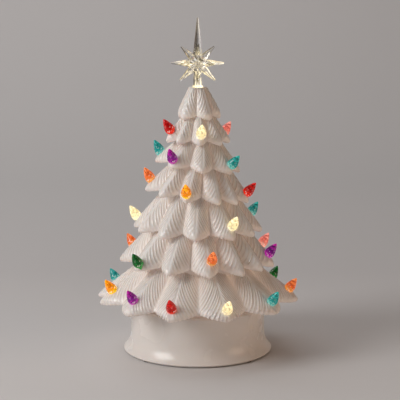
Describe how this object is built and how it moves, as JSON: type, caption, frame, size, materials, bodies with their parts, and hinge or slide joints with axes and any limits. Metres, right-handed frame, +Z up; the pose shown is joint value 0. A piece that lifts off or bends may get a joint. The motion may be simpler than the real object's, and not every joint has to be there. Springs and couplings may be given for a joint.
{
  "type": "ceramic christmas tree",
  "caption": "Glazed ceramic tabletop Christmas tree with coloured plug bulbs and a clear star, lifting off a drum base that holds a battery lamp.",
  "frame": {"origin": "on the floor, under the tree's axis, level with the bottom of the rubber feet", "axes": "+Z up along the tree's axis to the star, -Y to the front, +X to the right seen from the front"},
  "size_m": [0.2232, 0.2202, 0.368],
  "materials": {
    "white_glaze": "warm white gloss glaze over slip-cast ceramic",
    "clear_acrylic": "clear moulded acrylic",
    "bulb_red": "clear red acrylic",
    "bulb_coral": "clear coral acrylic",
    "bulb_orange": "clear orange acrylic",
    "bulb_amber": "clear amber acrylic",
    "bulb_clear": "clear acrylic with a warm light behind",
    "bulb_green": "clear green acrylic",
    "bulb_teal": "clear teal acrylic",
    "bulb_purple": "clear purple acrylic",
    "foot_rubber": "dark rubber",
    "white_abs": "fine-textured white plastic",
    "cell_can": "plain wrapped battery can",
    "nickel_contact": "nickel-plated spring steel",
    "zinc_screw": "zinc-plated steel",
    "black_plastic": "black plastic",
    "board_white": "white solder mask",
    "warm_diode": "clear epoxy over a warm white diode",
    "wire_red": "red insulation",
    "wire_black": "black insulation"
  },
  "bodies": {
    "base": {"base_shell": "white_glaze", "rubber_feet": "foot_rubber", "base_plate": "white_abs", "battery_box": "white_abs", "batteries": "cell_can", "contact_plates": "nickel_contact", "contact_springs": "nickel_contact", "box_screws": "zinc_screw", "switch_body": "black_plastic", "lamp_post": "white_abs", "lamp_board": "board_white", "lamp_diodes": "warm_diode", "wire_red": "wire_red", "wire_black": "wire_black", "wire_link": "wire_black"},
    "tree": {"tree_shell": "white_glaze", "bulb_tier2_1": "bulb_red", "bulb_tier2_2": "bulb_clear", "bulb_tier2_3": "bulb_coral", "bulb_tier2_4": "bulb_purple", "bulb_tier3_1": "bulb_teal", "bulb_tier3_2": "bulb_purple", "bulb_tier3_3": "bulb_teal", "bulb_tier3_4": "bulb_orange", "bulb_tier3_5": "bulb_red", "bulb_tier4_1": "bulb_orange", "bulb_tier4_2": "bulb_amber", "bulb_tier4_3": "bulb_red", "bulb_tier4_4": "bulb_green", "bulb_tier4_5": "bulb_clear", "bulb_tier5_1": "bulb_clear", "bulb_tier5_2": "bulb_clear", "bulb_tier5_3": "bulb_teal", "bulb_tier5_4": "bulb_red", "bulb_tier5_5": "bulb_orange", "bulb_tier6_1": "bulb_orange", "bulb_tier6_2": "bulb_green", "bulb_tier6_3": "bulb_orange", "bulb_tier6_4": "bulb_purple", "bulb_tier6_5": "bulb_coral", "bulb_tier6_6": "bulb_clear", "bulb_tier6_7": "bulb_teal", "bulb_tier7_1": "bulb_teal", "bulb_tier7_10": "bulb_orange", "bulb_tier7_11": "bulb_purple", "bulb_tier7_12": "bulb_clear", "bulb_tier7_2": "bulb_amber", "bulb_tier7_3": "bulb_purple", "bulb_tier7_4": "bulb_red", "bulb_tier7_5": "bulb_clear", "bulb_tier7_6": "bulb_teal", "bulb_tier7_7": "bulb_orange", "bulb_tier7_8": "bulb_green", "bulb_tier7_9": "bulb_red"},
    "star": {"star_topper": "clear_acrylic"},
    "battery_door": {"battery_door": "white_abs"},
    "switch_slider": {"switch_slider": "black_plastic"}
  },
  "joints": [
    {"name": "tree_lift", "type": "slide", "parent": "base", "child": "tree", "axis": [0, 0, 1], "range_m": [0, 0.08]},
    {"name": "star_pull", "type": "slide", "parent": "tree", "child": "star", "axis": [0, 0, 1], "range_m": [0, 0.03]},
    {"name": "battery_door_slide", "type": "slide", "parent": "base", "child": "battery_door", "axis": [1, 0, 0], "range_m": [0, 0.026]},
    {"name": "switch_slide", "type": "slide", "parent": "base", "child": "switch_slider", "axis": [1, 0, 0], "range_m": [0, 0.004]}
  ]
}
